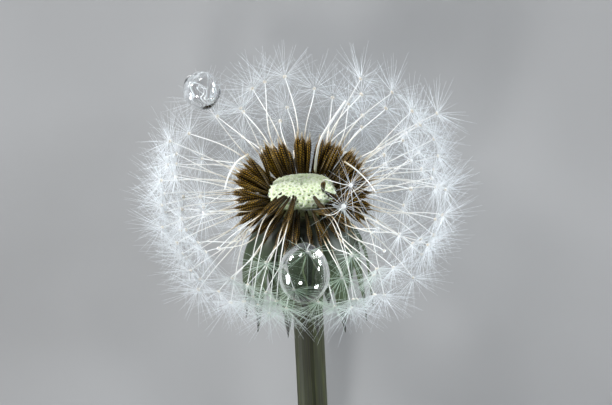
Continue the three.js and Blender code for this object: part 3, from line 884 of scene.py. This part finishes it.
def make_hubs(material):
    """A small knob where each parachute's hairs meet."""
    profile = np.array([[0.45, -1.0], [0.8, -0.55], [1.0, 0.05], [0.75, 0.5], [0.3, 0.72]])
    these = np.flatnonzero(hair_count > NO_BEAK)
    size = HUB_RADIUS * (0.9 + 0.25 * noise(number[these], 10))[:, None, None, None]
    circle = circles(*across(axis[these]), sides=8)
    rings = (
        hub[these][:, None, None]
        + size * profile[None, :, 0, None, None] * circle[:, None]
        + size * HUB_HEIGHT * profile[None, :, 1, None, None] * axis[these][:, None, None]
    )
    shift = (1 - STRIP) * noise(number[these], 7)
    points, faces, uv = skins(rings, rings.mean(axis=2)[:, [0, -1]], shift=shift, wrap=STRIP)
    add_piece("hubs", in_frame(over_floor(points)), faces, uv, material, "pappus")


def hair_paths(fruit, hair, key, share):
    """Paths of hairs that open round their hubs, and curl a little towards the axis and to one side."""
    along = axis[fruit]
    spin = 2 * pi * (hair * HAIR_TURN + 0.03 * noise(key, 20))
    layer = (hair + 0.5) / HAIRS
    degrees = HAIRS_OPEN + HAIRS_OPEN_MORE * layer ** 0.75 + HAIRS_OPEN_VARIES * (noise(key, 21) - 0.5)
    way = turned(along, turned(*across(along), spin), np.radians(degrees))
    length = HAIR_LENGTH * (0.82 + 0.3 * noise(key, 22))
    curl = HAIR_CURL * (noise(key, 23) - 0.35)
    aside = noise(key, 24) - 0.5
    square = (share ** 2)[None, :, None]
    return hub[fruit][:, None] + length[:, None, None] * (
        share[None, :, None] * way[:, None]
        + square * curl[:, None, None] * along[:, None]
        + square * HAIR_ASIDE * aside[:, None, None] * np.cross(way, along)[:, None]
    )


def make_hairs(material):
    """Each parachute's hairs, shared out among a few pieces. Each parachute's hairs, in
    pieces small enough to keep all their faces.
    """
    share = np.linspace(0, 1, 6)
    hairy = np.flatnonzero(hair_count > 0)
    for group in range(HAIR_PIECES):
        these = hairy[group::HAIR_PIECES]
        fruit = np.repeat(these, hair_count[these])
        hair = np.concatenate([np.arange(0, HAIRS, HAIRS // count) for count in hair_count[these]])
        key = number[fruit] * 7.31 + hair * 1.37
        paths = over_floor(hair_paths(fruit, hair, key, share))
        radii = np.broadcast_to(HAIR_RADIUS * (1 - HAIR_TAPER * share), paths.shape[:2])
        rings, ends = tubes(paths, radii, sides=3)
        shift = (1 - HAIR_STRIP) * noise(key, 25)
        points, faces, uv = skins(rings, ends, shift=shift, wrap=HAIR_STRIP, along=share)
        piece = add_piece(f"hairs_{group + 1}", in_frame(points), faces, uv, material, "pappus")
        # wet is how strongly each point takes the painted green of the bracts seen through the wet hairs.
        from_drop = np.linalg.norm(points - LOWER_DROP_AT, axis=1)
        set_values(piece, "wet", WET_PAINTED_GREEN * np.exp(-((from_drop / WET_REACH) ** 4)))


def beaded_outline(share, sides):
    """How wide an achene is at each point of its surface, for a half-width of 1."""
    places = [0, 0.12, 0.4, 0.66, 0.78, 0.86, 0.9, 1.0]
    width = np.interp(share, places, [0.42, 0.66, 0.90, 1.0, 0.84, 0.42, 0.24, 0.17])
    ridge = np.arange(sides) % 2 == 0
    bead = (np.arange(len(share))[:, None] + np.arange(sides) // 2) % 2 == 0
    rise = np.interp(share, [0, 0.1, 0.5, 0.62, 0.84, 0.88, 1.0], [0.0, 0.05, 0.07, 0.22, 0.30, 0.0, 0.0])
    return width[:, None] * (1 + 0.10 * (ridge - 0.5) + rise[:, None] * bead * ridge)


def make_achenes(material):
    """Slender achenes with beaded ribs, and spines below their cones."""
    sides = 2 * ACHENE_RIBS
    share = np.linspace(0, 1, ACHENE_ROWS)
    flat = turned(*across(lean), 2 * pi * noise(number, 11))
    thick = np.cross(lean, flat)
    size = ACHENE_WIDTH / 2 * (0.88 + 0.24 * noise(number, 12)) * (1 - ACHENE_NEAR_THINNER * nearness ** 2)
    out = (size[:, None, None] * beaded_outline(share, sides))[..., None]
    bow = (noise(number, 13) - 0.3)[:, None, None]
    bowed = np.sin(pi * share)[None, :, None] * ACHENE_BOW * bow * thick[:, None]
    up = (ACHENE_LENGTH + ACHENE_BURIED) * share - ACHENE_BURIED
    spine = root[:, None] + lean[:, None] * up[None, :, None] + bowed
    angle = round_angles(sides)[:, None]
    rings = (
        spine[:, :, None]
        + out * np.cos(angle) * flat[:, None, None]
        + ACHENE_FLATNESS * out * np.sin(angle) * thick[:, None, None]
    )
    strips = map_strips(number, 14)
    points, faces, uv = skins(rings, spine[:, [0, -1]], shift=strips, wrap=1 / VARIANTS, along=share)
    piece = add_piece("achene_fruits", in_frame(points), faces, uv, material, "achenes")
    # Painted shade, strongest on the near achenes that hang down, with some random tone on all of them.
    least, near_painted_shade, varies = ACHENE_PAINTED_SHADE_AND_TONE
    shade = np.clip(least + near_painted_shade * nearness ** 2 + varies * (noise(number, 37) - 0.5), 0, 1)
    set_values(piece, "shade", np.repeat(shade, ACHENE_ROWS * sides + 2))


# ---- Receptacle ----


def receptacle_pits(lengths, base, edge_at):
    """How deep in a pit, and how much on the rim round one, each point of the smooth surface base is."""
    profile = np.array(RECEPTACLE_PROFILE)
    k = np.arange(PITS)
    pit_at = edge_at * PITS_REACH * np.sqrt((k + 0.5) / PITS)
    radius, height = (np.interp(pit_at, lengths, column) for column in profile.T)
    pits = round_axis(radius, height, GOLDEN_ANGLE * k)
    away = np.linalg.norm(base[:, :, None] - pits[None, None], axis=-1).min(axis=-1)
    pit = np.exp(-((away / PIT_RADIUS) ** 2))
    rim = np.exp(-(((away - PIT_RIM_RADIUS) / PIT_RIM_WIDTH) ** 2))
    return pit, rim


def receptacle_roughness(at, angle, edge_at):
    """Ragged swellings and small grains, both highest at the dome's edge."""
    at = at[:, None]
    ragged = sum(
        np.sin(angle * round_it + phase(round_it, 30)) * np.sin(at * down_it + phase(round_it, 31))
        for round_it, down_it in RAGGED_WAVES
    ) / len(RAGGED_WAVES)
    edge = np.exp(-(((at - edge_at) / EDGE_WIDTH) ** 2))
    grains = np.sin(61 * angle + 3 * noise(1, 33)) * np.sin(at * 14.0) * np.sin(37 * angle + 2 * at)
    return (RAGGED[0] + RAGGED[1] * edge) * ragged, (GRAINS[0] + GRAINS[1] * edge) * grains


def make_receptacle(material):
    """A low dome with a pit for each fruit that stood on it, a ragged edge and a bare flank."""
    profile = np.array(RECEPTACLE_PROFILE)
    lengths = np.concatenate([[0], np.cumsum(np.linalg.norm(np.diff(profile, axis=0), axis=1))])
    edge_at = lengths[profile[:, 0].argmax()]
    at = np.linspace(FIRST_RING, lengths[-1], RECEPTACLE_RINGS)
    radius, height = (np.interp(at, lengths, column) for column in profile.T)
    slope = np.stack([np.gradient(radius, at), np.gradient(height, at)], axis=-1)
    steep = np.linalg.norm(slope, axis=1)
    angle = round_angles(sides=200)
    base = round_axis(radius[:, None] * (1 - SQUARENESS * np.cos(4 * angle)), height[:, None], angle)
    normals = round_axis((-slope[:, 1] / steep)[:, None], (slope[:, 0] / steep)[:, None], angle)
    pit, rim = receptacle_pits(lengths, base, edge_at)
    ragged, grains = receptacle_roughness(at, angle, edge_at)
    relief = -PIT_DEPTH * pit + PIT_RIM_HEIGHT * rim + ragged + grains
    rings = (base + relief[..., None] * normals)[None, ::-1]
    ends = np.stack([[0, 0, RECEPTACLE_BASE], [0, 0, RECEPTACLE_TOP - MIDDLE_DEPTH * pit[0].mean()]])[None]
    points, faces, uv = skins(rings, ends)
    piece = add_piece("receptacle_cushion", in_frame(points), faces, uv, material, "receptacle")
    # side marks the flank for its painted shade, fading in below the dome's edge; the white rims are left
    # off there.
    side = np.clip((FLANK_PAINTED_SHADE_TOP - height) / FLANK_PAINTED_SHADE_FADE, 0, 1)[:, None] + 0 * angle
    for name, values in (("pit", pit), ("rim", rim * (1 - side)), ("side", side)):
        set_values(piece, name, np.append(values[::-1].ravel(), [0.0, 0.0]))


# ---- Bracts ----


def bract_section(width, share, around, phases):
    """Half the width along a bract, and how high each point of its surface lies over its midrib."""
    half = width / 2 * np.sin(pi * (0.25 + 0.73 * share)) ** 0.55 * (1 - 0.93 * share ** 11)
    thick = BRACT_THICKNESS * (1 - 0.6 * share)
    wide = np.cos(around)
    wavy = BRACT_WAVE * np.sin(BRACT_WAVES * share[None, :, None] + phases[:, None, None]) * wide ** 2
    keel = -BRACT_KEEL * wide ** 2 + wavy
    veins = BRACT_VEIN * np.cos(BRACT_VEINS * pi * wide)
    body = np.sign(np.sin(around)) * (np.abs(np.sin(around)) ** 0.6)
    return half, half[None, :, None] * keel + thick[:, None] * body + veins * np.sin(around)


def make_bracts(name, node_name, count, width, out, up, salt, material):
    """A row of lance-shaped bracts, bent back, keeled, with a wavy edge."""
    steps, sides = 26, 20
    share = np.linspace(0, 1, steps)
    midrib = curve_through(np.stack([out, up], axis=-1), steps)
    i = np.arange(count)
    spread = 1 + BRACT_SPREAD * (noise(i, salt) - 0.5)
    twist = noise(i, salt + 1) - 0.5
    turns = 2 * pi * (i + BRACT_TURN_VARIES * (noise(i, salt + 2) - 0.5)) / count
    paths = np.zeros((count, steps, 3))
    paths[..., 0] = midrib[:, 0] * (1 + (spread[:, None] - 1) * share)
    paths[..., 2] = midrib[:, 1]
    along = unit(np.gradient(paths, axis=1))
    level = np.broadcast_to([0.0, 1.0, 0.0], paths.shape)
    side = turned(level, unit(np.cross(along, level)), twist[:, None] * share)
    normal = np.cross(along, side)
    around = round_angles(sides)
    half, over = bract_section(width, share, around, phase(i, salt + 3))
    rings = (
        paths[:, :, None]
        + (half[:, None] * np.cos(around))[None, ..., None] * side[:, :, None]
        + over[..., None] * normal[:, :, None]
    )
    strips = map_strips(i, salt + 4)
    points, faces, uv = skins(rings, paths[:, [0, -1]], shift=strips, wrap=1 / VARIANTS)
    cosine = np.repeat(np.cos(turns), steps * sides + 2)
    sine = np.repeat(np.sin(turns), steps * sides + 2)
    x, y, z = points.T
    points = np.stack([x * cosine - y * sine, x * sine + y * cosine, z], axis=-1)
    add_piece(name, in_frame(points), faces, uv, material, node_name)


# ---- Stem ----


def stem_path(steps):
    """The middle of the stem, in the frame's axes, from inside the receptacle to its end on the floor."""
    away = -AXIS
    top = CENTRE + away * (-RECEPTACLE_BASE - STEM_OVERLAP)
    end = np.array([CENTRE[0], CENTRE[1] - STEM_LENGTH, STEM_RADIUS * cos(STEM_END_TILT)])
    back = np.array([0.0, cos(STEM_END_TILT), sin(STEM_END_TILT)])
    after_top = top + away * STEM_LENGTH * STEM_HANDLES[0]
    before_end = end + back * STEM_LENGTH * STEM_HANDLES[1]
    return bezier(top[None], after_top[None], before_end[None], end[None], steps)[0]


def make_stem(material):
    """A hollow stalk with fine ribs, flared under the head, open at its cut end."""
    sides = 72
    path = stem_path(steps=90)
    gone = np.concatenate([[0], np.cumsum(np.linalg.norm(np.diff(path, axis=0), axis=1))])
    flare = np.maximum(0, 1 - gone / FLARE_LENGTH) ** 2
    radius = STEM_RADIUS + (FLARE_RADIUS - STEM_RADIUS) * flare
    angle = round_angles(sides)
    ribs = 1 + STEM_RIB * np.cos(STEM_RIBS * angle) + 0.010 * np.cos(5 * angle + 0.6)
    along = unit(np.gradient(path, axis=0))
    level = np.array([1.0, 0.0, 0.0])
    circle = circles(level, np.cross(along, level), sides)
    outer = path[:, None] + radius[:, None, None] * ribs[None, :, None] * circle
    inner = path[:, None] + (radius - STEM_WALL)[:, None, None] * circle
    ragged = 0.12 * np.sin(3 * angle + 1.0) + 0.07 * np.sin(8 * angle)
    lip = (outer[-1] + inner[-1]) / 2 + (LIP_LENGTH + ragged)[:, None] * along[-1]
    lip[:, 2] = np.maximum(lip[:, 2], LIP_OVER_FLOOR)
    outer[..., 2] = np.maximum(outer[..., 2], 0.0)
    hollow = inner[::-1][:HOLLOW_RINGS]
    rings = np.concatenate([outer, lip[None], hollow])[None]
    ends = np.stack([path[0], path[len(path) - len(hollow)]])[None]
    heights = np.concatenate([np.linspace(0, 1, len(outer)), [1.0], np.linspace(1, 0.2, len(hollow))])
    points, faces, uv = skins(rings, ends, along=heights)
    piece = add_piece("flower_stem", points * MM, faces, uv, material, "stem")
    cut = np.zeros(len(points))
    cut[len(outer) * sides:] = 1.0
    set_values(piece, "cut", cut)


# ---- Water ----


def make_drop(name, at, radius, stretch, uneven, salt, material):
    """A drop held among the hairs, pulled a little out of round by them."""
    polar = np.linspace(0, pi, 35)[1:-1]
    ball = direction(*np.meshgrid(polar, round_angles(sides=48), indexing="ij"))
    x, y, z = np.moveaxis(ball, -1, 0)
    pull = 1 + uneven * np.sin(3 * x + 5 * noise(salt, 1)) * np.cos(4 * y + salt)
    pull = pull + 0.5 * uneven * np.sin(7 * z + 3 * x)
    size = np.array([radius, radius, radius * stretch])
    rings = (at + ball * pull[..., None] * size)[None, ::-1]
    pole = size * [0, 0, 1]
    points, faces, uv = skins(rings, np.stack([at - pole, at + pole])[None])
    add_piece(name + "_surface", in_frame(points), faces, uv, material, name)


# ---- The scene ----


def make_camera():
    """The camera as the photograph has it, with a long lens that looks down on the bare side."""
    toward = sin(VIEW_LIFT) * AXIS + cos(VIEW_LIFT) * NEAR
    level_up = unit(AXIS - (AXIS @ toward) * toward)
    level_right = np.cross(level_up, toward)
    up = cos(VIEW_ROLL) * level_up + sin(VIEW_ROLL) * level_right
    right = cos(VIEW_ROLL) * level_right - sin(VIEW_ROLL) * level_up
    middle = CENTRE + PIXEL * ((PHOTO[0] / 2 - HEAD_PIXEL[0]) * right - (PHOTO[1] / 2 - HEAD_PIXEL[1]) * up)
    place = (middle + VIEW_DISTANCE * toward) * MM
    camera = bpy.data.objects.new("camera", bpy.data.cameras.new("camera"))
    camera.data.sensor_width = SENSOR
    camera.data.lens = SENSOR * VIEW_DISTANCE / (PHOTO[0] * PIXEL)
    camera.data.clip_start = 0.01
    camera.data.clip_end = 20.0
    camera.matrix_world = Matrix([*np.column_stack([right, up, toward, place]), [0, 0, 0, 1]])
    bpy.context.collection.objects.link(camera)
    bpy.context.scene.camera = camera


def make_floor():
    """A square of floor, far larger than the head."""
    corners = [(x * FLOOR_HALF, y * FLOOR_HALF, 0) for x, y in ((-1, -1), (1, -1), (1, 1), (-1, 1))]
    mesh = bpy.data.meshes.new("floor")
    mesh.from_pydata(corners, [], [(0, 1, 2, 3)])
    mesh.materials.append(floor_material())
    floor = bpy.data.objects.new("floor", mesh)
    bpy.context.collection.objects.link(floor)


def make_light(name, from_head, size, power, colour):
    """A soft round light, aimed at the middle of the head."""
    light = bpy.data.lights.new(name, "AREA")
    light.shape = "DISK"
    light.size = size
    light.energy = power
    light.color = colour
    lamp = bpy.data.objects.new(name, light)
    lamp.location = CENTRE * MM + from_head
    lamp.rotation_mode = "QUATERNION"
    lamp.rotation_quaternion = (-Vector(from_head)).to_track_quat("-Z", "Y")
    bpy.context.collection.objects.link(lamp)


def make_lights():
    """Soft lights all round, most of them low, so that the floor stays quieter than the hairs."""
    world = bpy.data.worlds.new("studio")
    bpy.context.scene.world = world
    world.use_nodes = True
    background = world.node_tree.nodes["Background"]
    background.inputs["Color"].default_value = (*SKY, 1.0)
    background.inputs["Strength"].default_value = SKY_STRENGTH
    for name, (from_head, size, power, colour) in LIGHTS.items():
        make_light(name, from_head, size, power, colour)
    bpy.context.scene.view_settings.view_transform = "Standard"


make_camera()
make_floor()
make_lights()

beak = beak_material()
leaf = leaf_material()
water = water_material()
make_hairs(hair_material())
make_hubs(hub_material())
make_beaks(beak)
make_loose_beaks(beak)
make_achenes(achene_material())
make_receptacle(receptacle_material())
make_bracts("bract_leaves_inner", "bracts_inner", **INNER_BRACTS, salt=60, material=leaf)
make_bracts("bract_leaves_outer", "bracts_outer", **OUTER_BRACTS, salt=70, material=leaf)
make_stem(stem_material())
make_drop("water_drop_upper", UPPER_DROP_AT, **UPPER_DROP, salt=1, material=water)
make_drop("water_drop_lower", LOWER_DROP_AT, **LOWER_DROP, salt=2, material=water)
